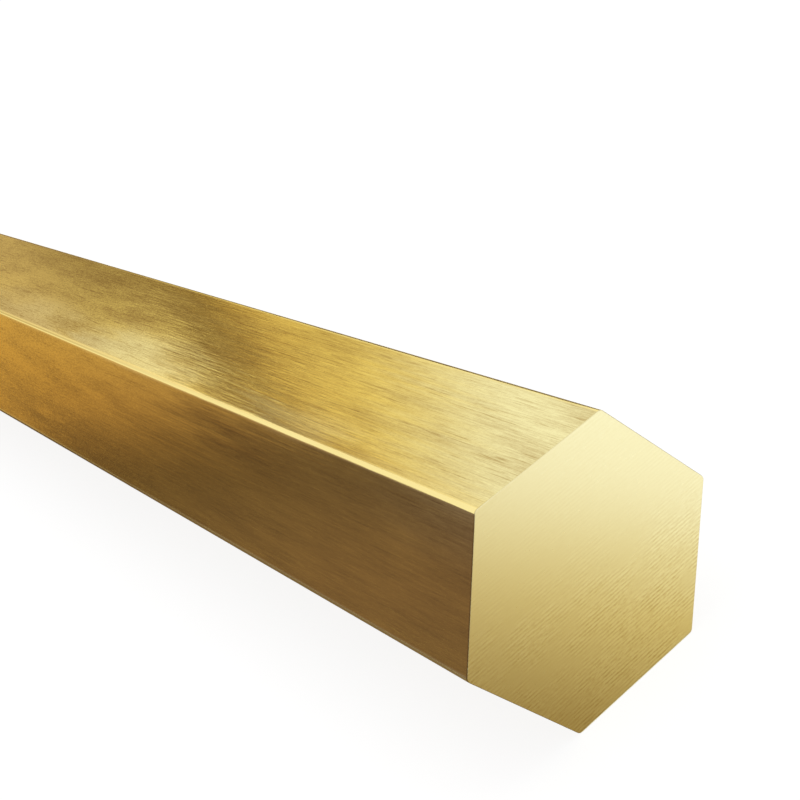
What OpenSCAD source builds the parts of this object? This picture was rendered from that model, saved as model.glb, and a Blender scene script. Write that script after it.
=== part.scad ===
// Hexagonal brass bar stock, drawn to size and sawn to length.
// The bar lies along X on one of its flats. The origin is the middle of that flat.

/* [Section] */
// Width across flats
across_flats = 25.4; // [8:0.1:80]
// Radius that the drawing die leaves on each long corner
corner_r = 0.6; // [0.1:0.05:1.5]

/* [Length] */
// Length of the bar as it is sold
bar_length = 304.8; // [50:0.1:1000]

/* [Ends] */
// Chamfer that deburring leaves round each sawn end, measured along the flat
end_chamfer = 0.25; // [0.05:0.05:1]

/* [Hidden] */
sides = 6;
side_angle = 360 / sides;
// Distance from the bar's axis to a flat
apothem = across_flats / 2;
// Distance that a corner's arc runs past a flat before the flat trims it
arc_overlap = corner_r / 50;
// Distance from the bar's axis to the centre of a corner's arc
arc_offset = (apothem - corner_r + arc_overlap) / cos(side_angle / 2);
// Half the width of a flat between the arcs on either side of it
flat_half_w = (apothem - corner_r) * tan(side_angle / 2);
// Radius of the round core, which fills the section up to the arcs
core_r = norm([apothem, flat_half_w]);
// How far a cutting block reaches past the metal that it removes
overrun = 2;
// Angle of the edge breaks to the flats
break_angle = 45;
// Segments in a full circle
round_fn = 96;

// Three bands, one for each pair of opposite flats, cross in a sharp hexagon.
module sharp_hexagon() {
    intersection_for (i = [0 : sides / 2 - 1])
        rotate(i * side_angle)
            square([2 * across_flats, across_flats], center = true);
}

// Section across the bar, centred on its axis, with a flat at the bottom.
module section() {
    intersection() {
        sharp_hexagon();
        union() {
            circle(r = core_r, $fn = round_fn);
            for (i = [0 : sides - 1])
                rotate(i * side_angle)
                    translate([arc_offset, 0])
                        circle(r = corner_r, $fn = round_fn);
        }
    }
}

// Block that breaks the edge between the end at +X and the upper flat.
module edge_break() {
    translate([bar_length / 2 - end_chamfer, 0, apothem])
        rotate([0, break_angle, 0])
            translate([-overrun, -across_flats, 0])
                cube([2 * (end_chamfer + overrun), 2 * across_flats, end_chamfer + overrun]);
}

// Edge breaks all round both ends.
module end_breaks() {
    for (end = [0, 1])
        mirror([end, 0, 0])
            for (i = [0 : sides - 1])
                rotate([i * side_angle, 0, 0])
                    edge_break();
}

module hex_bar() {
    color("goldenrod")
        translate([0, 0, apothem])
            difference() {
                translate([-bar_length / 2, 0, 0])
                    rotate([90, 0, 90])
                        linear_extrude(height = bar_length)
                            section();
                end_breaks();
            }
}

hex_bar();
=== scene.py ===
import math
import bmesh
import bpy
from mathutils import Matrix, Quaternion, Vector


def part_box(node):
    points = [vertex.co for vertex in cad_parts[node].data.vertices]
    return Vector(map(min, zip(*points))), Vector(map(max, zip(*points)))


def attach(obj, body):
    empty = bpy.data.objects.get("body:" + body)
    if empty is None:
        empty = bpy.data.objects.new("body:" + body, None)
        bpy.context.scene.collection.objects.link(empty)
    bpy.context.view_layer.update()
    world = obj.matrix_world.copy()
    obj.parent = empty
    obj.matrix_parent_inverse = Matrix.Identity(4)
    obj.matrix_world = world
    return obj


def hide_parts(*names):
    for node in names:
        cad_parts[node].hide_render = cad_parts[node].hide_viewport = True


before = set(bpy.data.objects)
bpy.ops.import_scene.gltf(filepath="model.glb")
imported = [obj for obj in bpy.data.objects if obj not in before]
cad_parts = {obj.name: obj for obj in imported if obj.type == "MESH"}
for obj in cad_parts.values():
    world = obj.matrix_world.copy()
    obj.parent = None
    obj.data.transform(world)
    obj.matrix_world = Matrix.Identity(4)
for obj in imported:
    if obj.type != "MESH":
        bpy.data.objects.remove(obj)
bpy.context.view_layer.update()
mm = 0.001

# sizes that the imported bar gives
barLow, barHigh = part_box("hex_bar")
barLength = barHigh.x - barLow.x
acrossFlats = barHigh.z - barLow.z
apothem = acrossFlats / 2
axisHeight = (barHigh.z + barLow.z) / 2
nearEnd = barHigh.x
print("frame loaded: bar", round(barLength / mm, 1), "mm long,",
      round(acrossFlats / mm, 1), "mm across flats")


class Wire:
    # one socket of a shader tree, so that shader maths reads as Python

    def __init__(self, tree, socket=None):
        self.tree = tree
        self.socket = socket

    def node(self, kind, settings=None, values=None, out=0):
        made = self.tree.nodes.new(kind)
        for name, value in (settings or {}).items():
            if name == "stops":
                fillRamp(made.color_ramp, value)
            else:
                setattr(made, name, value)
        for name, value in (values or {}).items():
            if isinstance(value, Wire):
                self.tree.links.new(value.socket, made.inputs[name])
            else:
                made.inputs[name].default_value = value
        return Wire(self.tree, made.outputs[out] if made.outputs else None)

    def other(self, name):
        return Wire(self.tree, self.socket.node.outputs[name])

    def calc(self, operation, left, right=0.0):
        kind = "ShaderNodeMath"
        if self.socket.type == "VECTOR":
            kind = "ShaderNodeVectorMath"
        return self.node(kind, {"operation": operation}, {0: left, 1: right})

    def __add__(self, other):
        return self.calc("ADD", self, other)

    def __radd__(self, other):
        return self.calc("ADD", other, self)

    def __sub__(self, other):
        return self.calc("SUBTRACT", self, other)

    def __rsub__(self, other):
        return self.calc("SUBTRACT", other, self)

    def __mul__(self, other):
        return self.calc("MULTIPLY", self, other)

    def __rmul__(self, other):
        return self.calc("MULTIPLY", other, self)


def fillRamp(ramp, stops):
    while len(ramp.elements) > 1:
        ramp.elements.remove(ramp.elements[-1])
    for number, (place, colour) in enumerate(stops):
        stop = ramp.elements[0] if number == 0 else ramp.elements.new(place)
        stop.position = place
        stop.color = (*colour, 1)


def newMaterial(name):
    material = bpy.data.materials.new(name)
    material.use_nodes = True
    material.node_tree.nodes.clear()
    return material, Wire(material.node_tree)


def finishMaterial(start, surface):
    start.node("ShaderNodeOutputMaterial", {}, {"Surface": surface})


# object coordinates in millimetres: X across the bar, Y up, Z along it
def barCoords(start):
    return start.node("ShaderNodeTexCoord", {}, {}, "Object") * (1 / mm, 1 / mm, 1 / mm)


def distance(vector):
    return vector.node("ShaderNodeVectorMath", {"operation": "LENGTH"}, {0: vector}, "Value")


# how far a point lies from the nearer end, in mm
def endDistance(along):
    return barLength / 2 / mm - along.calc("ABSOLUTE", along)


def noise(coords, scale, shift, detail, roughness=0.5):
    return coords.node("ShaderNodeTexNoise", {},
                       {"Vector": coords * scale + shift, "Scale": 1.0, "Detail": detail,
                        "Roughness": roughness}, "Fac")


# noise lies about a half, and this makes it lie about zero
def swing(pattern, reach):
    return (pattern - 0.5) * reach


# maps low..high to 0..1 with soft ends
def soften(value, low, high):
    return value.node("ShaderNodeMapRange", {"interpolation_type": "SMOOTHSTEP"},
                      {"Value": value, "From Min": low, "From Max": high})


def mixColour(first, second, factor):
    inputs = {0: factor}
    for socket, colour in ((6, first), (7, second)):       # the sockets that take colours
        inputs[socket] = colour if isinstance(colour, Wire) else (*colour, 1)
    return factor.node("ShaderNodeMix", {"data_type": "RGBA", "clamp_factor": True}, inputs, 2)


# raises a mask at egg-shaped places, each full within a fifth of its reach and gone at the whole of it
def addPlaces(mask, coords, places):
    for middle, reach, strength in places:
        offset = (coords - middle) * tuple(1 / length for length in reach)
        mask = mask.calc("MAXIMUM", mask, soften(distance(offset), 1.0, 0.2) * strength)
    return mask


def finishMetal(start, finish, colour, rough, height):
    bump = start.node("ShaderNodeBump", {}, {"Strength": 1.0, "Distance": finish["lineHeight"] * mm,
                                              "Height": height})
    surface = start.node("ShaderNodeBsdfPrincipled", {},
                         {"Base Color": colour, "Metallic": 1.0, "Roughness": rough,
                          "Specular Tint": (*finish["edgeTint"], 1), "Normal": bump})
    finishMaterial(start, surface)


drawnFinish = {
    "gold": (0.94, 0.75, 0.24),          # the common tone of the flats
    "deep": (0.88, 0.61, 0.16),          # the -Y side: partly aged, partly painted shade that deepens that whole side
    "pale": (0.95, 0.88, 0.48),          # rubbed metal with painted highlight, most of it next to the sawn ends
    "brown": (0.44, 0.29, 0.10),         # tarnish in the drawing lines and smears, and the colour of the painted shade lines at the corners and ends
    "wornEdgeHighlight": (1.0, 0.84, 0.36),       # the long corners, rubbed bright and with a painted highlight
    "edgeTint": (0.95, 0.83, 0.50),      # colour at a grazing angle
    "roughness": 0.15,
    "lineHeight": 0.016,                 # relief of the drawing lines, in mm
    "brownShare": 0.26,                  # tarnish that shows everywhere
    "cloudTarnish": 0.3,                 # tarnish in wide clouds
    "edgeWearAndHighlight": 0.9,
    "ridgeShadeStrength": 0.5,                 # painted shade: a thin dark line along the very corner, in the handled zone, that splits the corner's highlight
    "endShadeStrength": 0.9,                   # painted shade: a dark line beside the saw cut on the -Y side
    "handledWear": 1.35,
    # where each begins and where it is complete, in mm
    "agedAndShadedZone": (4.0, 11.0),             # from the axis
    "paleZone": (32.0, 4.0),             # from an end
    "handledZone": (40.0, 110.0),        # from an end
    "endShadeZone": (0.2, 0.08),              # from an end
    "wornAndHighlightZone": (0.25, 0.14),            # from the sharp corner
    "ridgeShadeZone": (0.108, 0.097),         # from the sharp corner
    "paleSlant": 1.2,                    # how much further the pale zone reaches for each mm across
    "paleRagged": 20.0,                  # how uneven its border is, in mm
    "placesRagged": 30.0,                # the same for the places below
    # rubbed places with painted highlight, tarnished ones with painted shade: middle across, up and
    # along, then reach, in mm, then strength
    "rubbedAndSheenPlaces": [((-5.5, 12.7, 80), (6, 0.8, 26), 0.9), ((-6, 12.7, 46), (6, 0.8, 26), 0.55),
                     ((-7, 12.7, 121), (5, 0.8, 14), 0.6)],
    "tarnishedAndShadedPlaces": [((-4, 12.7, 107), (5, 6, 11), 0.22), ((4, 12.7, 84), (5, 6, 22), 0.29),
                        ((0, 12.7, 96), (4, 6, 13), 0.35), ((0.5, 12.7, 71), (3, 6, 9), 0.35),
                        ((-4.2, 12.7, 59), (2.2, 6, 7), 0.3), ((5, 12.7, 46), (4, 6, 24), 0.38),
                        ((-8.5, 11, 138), (3, 4, 26), 0.25), ((-8.9, 10, 110), (3, 4.5, 20), 0.42),
                        ((-13.6, 1.8, 68), (4, 5, 30), 0.5)],
}


def drawnBrass():
    finish = drawnFinish
    material, start = newMaterial("drawnBrass")
    coords = barCoords(start)
    across = start.node("ShaderNodeSeparateXYZ", {}, {0: coords})
    toEnd = endDistance(across.other(2))
    toCorner = apothem / mm / math.cos(math.pi / 6) - distance(coords * (1, 1, 0))

    hairLines = noise(coords, (9, 9, 0.3), (3, 1, 7), 2, 0.6)            # about 0.1 mm wide
    fineLines = noise(coords, (4.5, 4.5, 0.17), (5, 8, 1), 2, 0.6)       # about 0.2 mm wide
    shortLines = noise(coords, (6, 6, 0.8), (7, 2, 9), 2, 0.6)
    longLines = noise(coords, (1.6, 1.6, 0.03), (9, 4, 2), 3)            # about 0.5 mm wide
    grain = noise(coords, (5.5, 5.5, 2.4), (2, 2, 2), 1)
    scratches = soften(noise(coords, (6.5, 6.5, 0.2), (8, 3, 6), 1), 0.60, 0.74)      # sparse and dark
    smears = noise(coords, (0.6, 0.6, 0.085), (6, 2, 5), 2)
    blots = noise(coords, (0.42, 0.42, 0.075), (3, 7, 4), 3, 0.6)
    clouds = noise(coords, (0.12, 0.12, 0.03), (1, 6, 3), 2)

    # masks of what happened to the metal and of painted light and shade, and where
    # painted shade as well as age: the -Y side turns to the deeper tone
    agedAndShaded = soften(across * -1, *finish["agedAndShadedZone"])
    handled = soften(toEnd, *finish["handledZone"]) * finish["handledWear"]
    # painted highlight as well as rubbed metal: paler near the ends and at the listed places on the top
    # flat
    rubbedAndSheen = soften(toEnd - across * finish["paleSlant"] - swing(longLines, finish["paleRagged"]),
                    *finish["paleZone"]) * (1 - agedAndShaded)
    ragged = coords + start.node("ShaderNodeCombineXYZ", {}, {"Z": swing(smears, finish["placesRagged"])})
    rubbedAndSheen = addPlaces(rubbedAndSheen, ragged, finish["rubbedAndSheenPlaces"])
    # real tarnish in the clouds; painted shade at the listed places, the dark bands and patches of
    # reflection
    tarnishAndShade = soften(clouds, 0.45, 0.75) * finish["cloudTarnish"]
    tarnishAndShade = addPlaces(tarnishAndShade, ragged, finish["tarnishedAndShadedPlaces"])
    # painted highlight as well as wear: the long corners turn paler, so that their highlight shows wider
    wornAndHighlight = soften(toCorner - swing(longLines, 0.1), *finish["wornAndHighlightZone"])
    # painted shade: a thin dark line along the middle of each corner's rounding, away from the ends
    ridgeShade = soften(toCorner, *finish["ridgeShadeZone"]) * handled
    # painted shade: a dark line on the flats just beside each end, on the -Y side
    endShadeLine = soften(toEnd, *finish["endShadeZone"]) * agedAndShaded

    # clean long lines near the ends, shorter and grainier ones where the bar was handled
    lines = swing(hairLines, 0.9) + swing(fineLines, 0.75) + swing(longLines, 0.5)
    lines = lines * (0.7 + soften(smears, 0.35, 0.65) * 0.5) * (1 - handled * 0.6)
    lines = lines + swing(shortLines, 0.45 + handled * 0.45) + swing(grain, 0.4 + handled * 0.8)
    lines = lines * (1 - rubbedAndSheen * 0.25) * (1 - agedAndShaded * (0.35 - handled * 0.35))
    lines = lines + scratches * (0.34 + handled * 0.12 - agedAndShaded * 0.16)
    blotchy = (0.65 + handled * (0.6 - agedAndShaded * 0.6) + agedAndShaded * 0.1) * (1 - rubbedAndSheen * 0.5)
    stains = swing(smears, 0.45 + handled * 0.2) + swing(blots, blotchy)
    brown = finish["brownShare"] - rubbedAndSheen * 0.08 + lines + stains + tarnishAndShade

    colour = mixColour(finish["gold"], finish["deep"], agedAndShaded)
    colour = mixColour(colour, finish["pale"], rubbedAndSheen)
    colour = mixColour(colour, finish["brown"], brown)
    colour = mixColour(colour, finish["wornEdgeHighlight"], wornAndHighlight * finish["edgeWearAndHighlight"])
    colour = mixColour(colour, finish["brown"], ridgeShade * finish["ridgeShadeStrength"])
    colour = mixColour(colour, finish["brown"], endShadeLine * finish["endShadeStrength"])
    rough = finish["roughness"] + swing(smears, 0.12) + swing(hairLines, 0.06) + tarnishAndShade * 0.08
    height = hairLines * 0.25 + fineLines * 0.5 + longLines * (0.9 - handled * 0.5) + smears * 0.8
    height = height * (1 - rubbedAndSheen * 0.6) * (1 - handled * 0.35)
    finishMetal(start, finish, colour, rough, height)
    return material


sawnFinish = {
    "fresh": (1.0, 0.95, 0.58),
    "smeared": (0.62, 0.47, 0.16),
    "edgeTone": (0.80, 0.70, 0.38),      # the edge break, dulled by the file
    "underShadeTone": (0.30, 0.21, 0.08),     # painted shade: the same edge break on the left and under edges, made dark
    "edgeTint": (0.95, 0.87, 0.60),      # colour at a grazing angle
    "roughness": 0.30,
    "lineHeight": 0.016,                 # relief of the saw marks, in mm
    "smearShare": 0.18,                  # smeared metal that shows everywhere
    "feed": 0.36,                        # the saw's feed marks, in mm apart
    "feedWander": 2.4,                   # how far they stray, as an angle
    "leastBite": 0.05,                   # how hard the saw bit: everywhere, in patches, and at the foot
    "patchBite": 0.10,
    "footBite": 1.2,
    # where each begins and where it is complete, in mm
    "footZone": (5, -6),                 # height from the axis
    "underShadeZone": (10, 8),                # height from the axis
    "edgeZone": (0.0, 0.02),             # depth from the cut
}


def sawnBrass():
    finish = sawnFinish
    material, start = newMaterial("sawnBrass")
    coords = barCoords(start)
    across = start.node("ShaderNodeSeparateXYZ", {}, {0: coords})
    upward = across.other(1)
    toEnd = endDistance(across.other(2))
    sawLines = noise(coords, (0.8, 4.5, 4.5), (2, 5, 1), 1)            # about 0.2 mm wide
    nicks = noise(coords, (2.4, 8, 8), (7, 3, 4), 1)                   # short broken cuts
    patches = noise(coords, (0.25, 0.35, 0.35), (4, 4, 9), 2)
    breaks = noise(coords, (0.35, 0.6, 0.6), (1, 8, 3), 1)             # where the feed marks fade
    foot = soften(across * 0.2 + upward, *finish["footZone"])
    bite = soften(patches, 0.22, 0.62) * (finish["patchBite"] + foot * finish["footBite"])
    strong = finish["leastBite"] + bite
    wave = upward * (2 * math.pi / finish["feed"]) + swing(sawLines, finish["feedWander"])
    feedMarks = wave.calc("SINE", wave) * soften(breaks, 0.20, 0.66)
    marks = swing(sawLines, 0.5) + swing(nicks, 0.7) + feedMarks * 0.22
    colour = mixColour(finish["fresh"], finish["smeared"], finish["smearShare"] + marks * strong)
    # painted shade: the end's edge break turns dark towards the left and the bottom
    underShade = soften(across * 0.45 + upward, *finish["underShadeZone"])
    edgeColour = mixColour(finish["edgeTone"], finish["underShadeTone"], underShade)
    colour = mixColour(colour, edgeColour, soften(toEnd, *finish["edgeZone"]))
    rough = finish["roughness"] + swing(nicks, 0.10)
    height = (sawLines * 0.9 + nicks * 0.4 + feedMarks * 0.12) * strong
    finishMetal(start, finish, colour, rough, height)
    return material


barShape = {
    "cornerRadius": 0.6 * mm,    # rounding that the die leaves on the long corners
    "endBreak": 0.06 * mm,       # edge break round each sawn end
    "cornerSteps": 8,
    "flatSteps": 10,
    "lengthSteps": 96,
    "breakSteps": 3,
    "mapStrip": 0.128,           # height of one flat's strip in the bake map
    "mapBreak": 0.006,           # length that an edge break gets in it
    "mapEnd": 0.10,              # half the height of an end in it
    "mapEndPlaces": (0.15, 0.45),
    "mapEndRoom": 1.1,           # what an end takes up there, times its size
}


# the section's outline, as (across, up) points with their outward normals, from one end of the upper flat
def sectionOutline(shape):
    radius = shape["cornerRadius"]
    halfFlat = (apothem - radius) * math.tan(math.pi / 6)
    outline = []
    for side in range(6):
        turn = Matrix.Rotation(side * math.pi / 3, 2)
        for step in range(shape["flatSteps"]):
            share = step / shape["flatSteps"] * 2 - 1
            outline.append((turn @ Vector((-share * halfFlat, apothem)), turn @ Vector((0, 1))))
        centre = Vector((-halfFlat, apothem - radius))
        for step in range(shape["cornerSteps"]):
            angle = step / shape["cornerSteps"] * math.pi / 3
            outward = Vector((-math.sin(angle), math.cos(angle)))
            outline.append((turn @ (centre + outward * radius), turn @ outward))
    return outline


# where a step round the outline lies in the bake map: its flat, and the shares of that flat's strip
def stripPlace(shape, outline, step):
    perSide = shape["flatSteps"] + shape["cornerSteps"]
    side, first = step // perSide, step // perSide * perSide
    lengths = []
    for spot in range(first, first + perSide):
        following = (spot + 1) % len(outline)
        lengths.append((outline[following][0] - outline[spot][0]).length)
    start = sum(lengths[:step - first])
    margin = 0.03
    scale = (1 - 2 * margin) / sum(lengths)
    return side, margin + start * scale, margin + (start + lengths[step - first]) * scale


# where a station lies along a strip; the edge breaks get more than their true length, so that they bake
def stationPlace(shape, station, count):
    breakSteps = shape["breakSteps"]
    margin = 0.01
    start = margin + shape["mapBreak"]
    last = count - 1 - breakSteps
    if station < breakSteps:
        return margin + shape["mapBreak"] * station / breakSteps
    if station > last:
        return 1 - start + shape["mapBreak"] * (station - last) / breakSteps
    return start + (1 - 2 * start) * (station - breakSteps) / (last - breakSteps)


def makeBar(shape):
    outline = sectionOutline(shape)
    half = barLength / 2
    size = shape["endBreak"]
    rings = []
    for step in range(shape["breakSteps"] + 1):
        angle = step / shape["breakSteps"] * math.pi / 2
        rings.append((half - size + size * math.cos(angle), size * (1 - math.sin(angle))))
    stations = [(-place, inset) for place, inset in rings]
    inner = half - size
    for step in range(1, shape["lengthSteps"]):
        stations.append((-inner + 2 * inner * step / shape["lengthSteps"], 0.0))
    stations += reversed(rings)
    mesh = bmesh.new()
    bakeMap = mesh.loops.layers.uv.new("OFBake")
    loops = []
    for place, inset in stations:
        loop = []
        for point, outward in outline:
            across, up = point - outward * inset
            loop.append(mesh.verts.new((across, up, place)))
        loops.append(loop)
    count = len(outline)
    breakSteps = shape["breakSteps"]
    for row in range(len(loops) - 1):
        isBreak = row < breakSteps or row >= len(loops) - 1 - breakSteps
        lower, upper = loops[row], loops[row + 1]
        for spot in range(count):
            following = (spot + 1) % count
            face = mesh.faces.new((lower[spot], lower[following], upper[following], upper[spot]))
            face.smooth = True
            face.material_index = 1 if isBreak else 0
            side, low, high = stripPlace(shape, outline, spot)
            places = ((row, low), (row, high), (row + 1, high), (row + 1, low))
            for corner, (station, share) in zip(face.loops, places):
                along = stationPlace(shape, station, len(loops))
                corner[bakeMap].uv = (along, (side + share) * shape["mapStrip"])
    for loop, along in zip((loops[0][::-1], loops[-1]), shape["mapEndPlaces"]):
        cap = mesh.faces.new(loop)
        cap.smooth = True
        cap.material_index = 1
        middle = Vector((along, 1 - shape["mapEndRoom"] * shape["mapEnd"]))
        for corner in cap.loops:
            corner[bakeMap].uv = middle + corner.vert.co.xy * (shape["mapEnd"] / apothem)
        for edge in cap.edges:
            edge.smooth = False
    mesh.normal_update()
    data = bpy.data.meshes.new("drawnBar")
    mesh.to_mesh(data)
    mesh.free()
    piece = bpy.data.objects.new("drawnBar", data)
    bpy.context.scene.collection.objects.link(piece)
    # the mesh's X, Y and Z are the frame's Y, Z and X
    piece.matrix_world = Matrix(((0, 0, 1, 0), (1, 0, 0, 0), (0, 1, 0, axisHeight), (0, 0, 0, 1)))
    even = piece.modifiers.new("evenNormals", "WEIGHTED_NORMAL")
    even.keep_sharp = True
    data.materials.append(drawnBrass())
    data.materials.append(sawnBrass())
    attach(piece, "root")
    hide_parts("hex_bar")
    return piece


bar = makeBar(barShape)
print("bar made:", len(bar.data.polygons), "faces")

# the stage: a white floor that keeps the shadow, and white surroundings
studio = {
    "floorSize": 40.0,
    "floorGlow": 0.87,       # white that the floor shows besides the light that falls on it
    "floorColour": 0.20,
    "worldForDiffuse": 0.6,  # the room's light on rough surfaces
    "firstLift": 0.04 * mm,  # how high the first card stands, and how much higher each next one does
    "nextLift": 0.01 * mm,
}


def whiteRays(start):
    seen = start.node("ShaderNodeLightPath", {}, {}, "Is Camera Ray")
    bounced = seen.calc("MAXIMUM", seen.other("Is Glossy Ray"), seen.other("Is Transmission Ray"))
    return seen.calc("MAXIMUM", seen, bounced)


# a rectangle in its own X and Y
def makeSheet(name, across, height, material):
    (left, right), (bottom, top) = across, height
    corners = [(left, bottom, 0), (right, bottom, 0), (right, top, 0), (left, top, 0)]
    data = bpy.data.meshes.new(name)
    data.from_pydata(corners, [], [(0, 1, 2, 3)])
    data.materials.append(material)
    sheet = bpy.data.objects.new(name, data)
    bpy.context.scene.collection.objects.link(sheet)
    return sheet


def makeFloor():
    material, start = newMaterial("paleFloor")
    level = studio["floorColour"]
    diffuse = start.node("ShaderNodeBsdfDiffuse", {}, {"Color": (level, level, level, 1)})
    glow = start.node("ShaderNodeEmission", {}, {"Color": (1, 1, 1, 1),
                                                  "Strength": whiteRays(start) * studio["floorGlow"]})
    finishMaterial(start, start.node("ShaderNodeAddShader", {}, {0: diffuse, 1: glow}))
    half = studio["floorSize"] / 2
    floor = makeSheet("floor", (-half, half), (-half, half), material)


def makeWorld():
    world = bpy.data.worlds.new("whiteRoom")
    bpy.context.scene.world = world
    world.use_nodes = True
    world.node_tree.nodes.clear()
    start = Wire(world.node_tree)
    white = whiteRays(start)
    level = white + (1 - white) * studio["worldForDiffuse"]
    background = start.node("ShaderNodeBackground", {}, {"Color": (1, 1, 1, 1), "Strength": level})
    start.node("ShaderNodeOutputWorld", {}, {"Surface": background})


# a direction counted from the bar's axis towards +Y, and up from the floor
def towards(azimuth, elevation=0):
    turn, rise = math.radians(azimuth), math.radians(elevation)
    return Vector((math.cos(turn) * math.cos(rise), math.sin(turn) * math.cos(rise), math.sin(rise)))


keyBox = {
    "azimuth": 150,
    "elevation": 72,
    "distance": 3.2,
    "width": 4.2,
    "height": 3.0,
    "radiance": 1.0,
}


def makeKeyBox(lamp):
    light = bpy.data.lights.new("keyBox", "AREA")
    light.shape = "RECTANGLE"
    light.size = lamp["width"]
    light.size_y = lamp["height"]
    light.energy = lamp["radiance"] * math.pi * lamp["width"] * lamp["height"]
    box = bpy.data.objects.new("keyBox", light)
    outward = towards(lamp["azimuth"], lamp["elevation"])
    box.location = Vector((nearEnd, 0, axisHeight)) + outward * lamp["distance"]
    box.rotation_mode = "QUATERNION"
    box.rotation_quaternion = (-outward).to_track_quat("-Z", "Y")
    box.visible_camera = False
    box.visible_glossy = False       # the white room lights the metal, and a lamp in it would clip
    bpy.context.scene.collection.objects.link(box)


# cards round the bar that show only in its reflections, in metres from the near end's foot
# a card's tones run across it, turned by its lean, its sides and top fade out, and a flat one lies down
cards = {
    "goldPanel": {
        "azimuth": 160, "distance": 2.5, "across": (-0.38, 1.1), "height": (0, 1.55), "soft": 0.08,
        "tones": [(-0.36, (0.97, 0.95, 0.88)), (-0.22, (0.90, 0.84, 0.66)), (-0.10, (0.86, 0.79, 0.55)),
                  (0.0, (0.77, 0.61, 0.39)), (0.055, (0.14, 0.09, 0.05)), (0.105, (0.18, 0.12, 0.09)),
                  (0.16, (1.22, 1.20, 1.14)), (0.23, (1.20, 1.18, 1.12)), (0.32, (0.96, 0.92, 0.90)),
                  (1.1, (0.90, 0.84, 0.82))],
    },
    "lowPanel": {
        "azimuth": 160, "distance": 2.4, "across": (0.02, 0.9), "height": (0, 0.90), "soft": 0.10,
        "tones": [(0.02, (0.27, 0.19, 0.13)), (0.19, (0.28, 0.21, 0.17)), (0.31, (0.63, 0.56, 0.59)),
                  (0.9, (0.69, 0.62, 0.65))],
    },
    "footPanel": {
        "azimuth": 160, "distance": 2.3, "across": (-0.7, 0.10), "height": (0, 0.5), "soft": 0.12,
        "tones": [(-0.7, (0.12, 0.09, 0.07)), (0.10, (0.16, 0.12, 0.09))],
    },
    "sidePanel": {
        "azimuth": 270, "distance": 0.08, "across": (-0.40, 0.03), "height": (0, 0.06), "soft": 0.012,
        "lean": -72,
        "tones": [(-0.125, (0.68, 0.51, 0.34)), (-0.105, (0.63, 0.47, 0.32)),
                  (-0.090, (0.53, 0.385, 0.28)), (-0.078, (0.27, 0.20, 0.18)),
                  (-0.069, (0.175, 0.138, 0.143)), (-0.058, (0.22, 0.175, 0.195)),
                  (-0.045, (0.255, 0.195, 0.22)), (-0.028, (0.215, 0.17, 0.19))],
    },
    "tallSidePanel": {
        "azimuth": 270, "distance": 0.082, "across": (-0.22, 0.05), "height": (0, 0.068), "soft": 0.015,
        "tones": [(-0.22, (0.14, 0.11, 0.07)), (0.05, (0.14, 0.11, 0.07))],
    },
    "sideSheet": {
        "azimuth": 270, "distance": 0, "across": (-0.40, 0.16), "height": (-0.01, 0.08), "soft": 0.01,
        "flat": True,
        "tones": [(-0.40, (0.95, 0.92, 0.84)), (-0.345, (0.80, 0.72, 0.55)), (-0.305, (0.48, 0.37, 0.23)),
                  (-0.13, (0.17, 0.13, 0.12)), (-0.02, (0.22, 0.18, 0.18)), (0.05, (0.48, 0.43, 0.38)),
                  (0.15, (0.95, 0.92, 0.88))],
    },
    "backPanel": {
        "azimuth": 136, "distance": 2.5, "across": (-0.5, 0.75), "height": (0, 0.85), "soft": 0.1,
        "tones": [(-0.5, (0.12, 0.09, 0.07)), (0.75, (0.12, 0.09, 0.07))],
    },
    "backSheet": {
        "azimuth": 90, "distance": 0, "across": (-0.18, 0.40), "height": (-0.004, 0.22), "soft": 0.02,
        "flat": True,
        "tones": [(-0.16, (0.95, 0.92, 0.88)), (-0.06, (0.60, 0.53, 0.46)), (0.0, (0.34, 0.27, 0.20)),
                  (0.035, (0.09, 0.06, 0.04)), (0.14, (0.16, 0.11, 0.07)), (0.305, (0.42, 0.31, 0.19)),
                  (0.345, (0.80, 0.72, 0.55)), (0.40, (0.95, 0.92, 0.84))],
    },
    "frontPanel": {
        "azimuth": 262, "distance": 1.6, "across": (-0.9, 2.4), "height": (0, 0.6), "soft": 0.2,
        "tones": [(-0.9, (0.20, 0.15, 0.10)), (2.4, (0.20, 0.15, 0.10))],
    },
    "endSheet": {
        "azimuth": 0, "distance": 0, "across": (-0.35, 0.09), "height": (-0.001, 0.30), "soft": 0.05,
        "lean": 14, "flat": True,
        "tones": [(-0.006, (0.34, 0.24, 0.10)), (0.008, (0.64, 0.52, 0.28)), (0.017, (0.83, 0.75, 0.56)),
                  (0.027, (1.03, 1.02, 1.03)), (0.04, (1.1, 1.12, 1.18))],
    },
}


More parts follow.
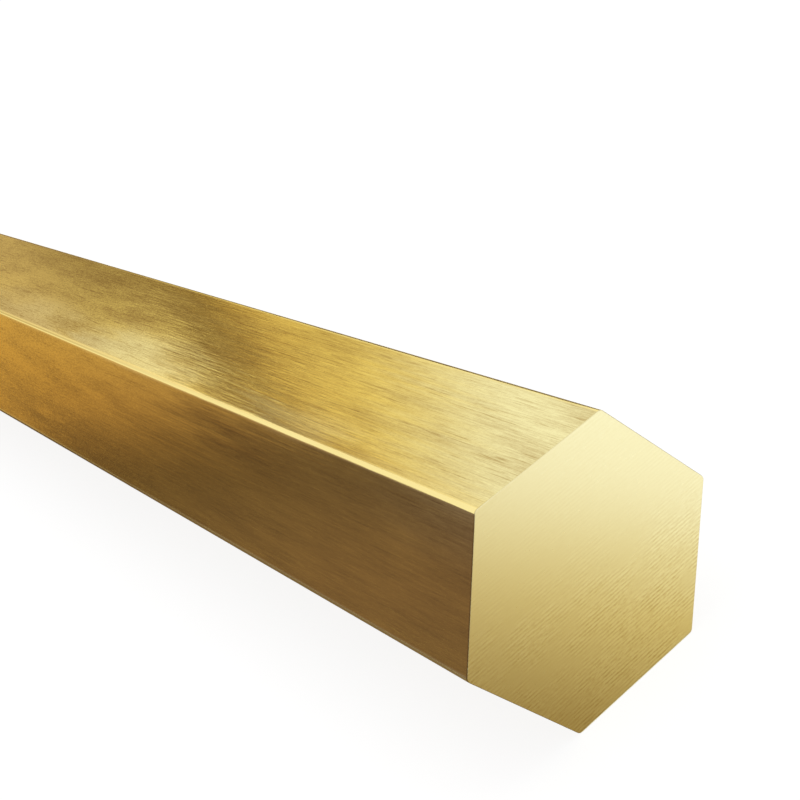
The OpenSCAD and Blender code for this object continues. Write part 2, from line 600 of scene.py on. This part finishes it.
def cardMaterial(name, card):
    material, start = newMaterial(name)
    material.cycles.emission_sampling = "NONE"
    coords = start.node("ShaderNodeTexCoord", {}, {}, "Object")
    across = start.node("ShaderNodeSeparateXYZ", {}, {0: coords})
    upward = across.other(1)
    lean = math.radians(card.get("lean", 0))
    first = card["tones"][0][0]
    span = card["tones"][-1][0] - first
    stops = [((place - first) / span, tone) for place, tone in card["tones"]]
    place = across * math.cos(lean) + upward * math.sin(lean)
    tone = start.node("ShaderNodeValToRGB", {"stops": stops}, {"Fac": (place - first) * (1 / span)})
    soft = card["soft"]
    low, high = card["across"]
    top = card["height"][1]
    shown = soften(across, low, low + soft) * soften(across, high, high - soft)
    shown = shown * soften(upward, top, top - soft)
    glow = start.node("ShaderNodeEmission", {}, {"Color": tone, "Strength": 1.0})
    clear = start.node("ShaderNodeBsdfTransparent")
    finishMaterial(start, start.node("ShaderNodeMixShader", {}, {0: shown, 1: clear, 2: glow}))
    return material


def makeCard(name, card, lift):
    outward = towards(card["azimuth"])
    sideways = Vector((-outward.y, outward.x, 0))
    upward = outward if card.get("flat") else Vector((0, 0, 1))
    foot = Vector((nearEnd, 0, lift)) + outward * card["distance"]
    panel = makeSheet(name, card["across"], card["height"], cardMaterial(name, card))
    turn = Matrix((sideways, upward, sideways.cross(upward))).transposed().to_4x4()
    panel.matrix_world = Matrix.Translation(foot) @ turn
    panel.visible_camera = False
    panel.visible_diffuse = False
    panel.visible_shadow = False


makeFloor()
makeWorld()
makeKeyBox(keyBox)
lift = studio["firstLift"]
for name, card in cards.items():
    makeCard(name, card, lift)
    lift += studio["nextLift"]       # each a hair above the last, so that none meet
print("stage made: floor, room, lamp and", len(cards), "cards")

viewpoint = {
    "azimuth": -24.31,
    "elevation": 26.42,
    "roll": -25.69,
    "lens": 68.32,
    "sensor": 36,
    "clipStart": 5 * mm,
    "aimFromEnd": 19.2 * mm,
    "aimAcross": -0.37 * mm,
    "aimHeight": 27.24 * mm,
    "distance": 140 * mm,
}


def makeCamera(view):
    camera = bpy.data.objects.new("camera", bpy.data.cameras.new("camera"))
    bpy.context.scene.collection.objects.link(camera)
    back = towards(view["azimuth"], view["elevation"])
    aim = Vector((nearEnd - view["aimFromEnd"], view["aimAcross"], view["aimHeight"]))
    camera.location = aim + back * view["distance"]
    camera.rotation_mode = "QUATERNION"
    roll = Quaternion((0, 0, 1), math.radians(view["roll"]))
    camera.rotation_quaternion = (-back).to_track_quat("-Z", "Y") @ roll
    camera.data.lens = view["lens"]
    camera.data.sensor_width = view["sensor"]
    camera.data.clip_start = view["clipStart"]
    bpy.context.scene.camera = camera


makeCamera(viewpoint)
bpy.context.scene.view_settings.view_transform = "Standard"
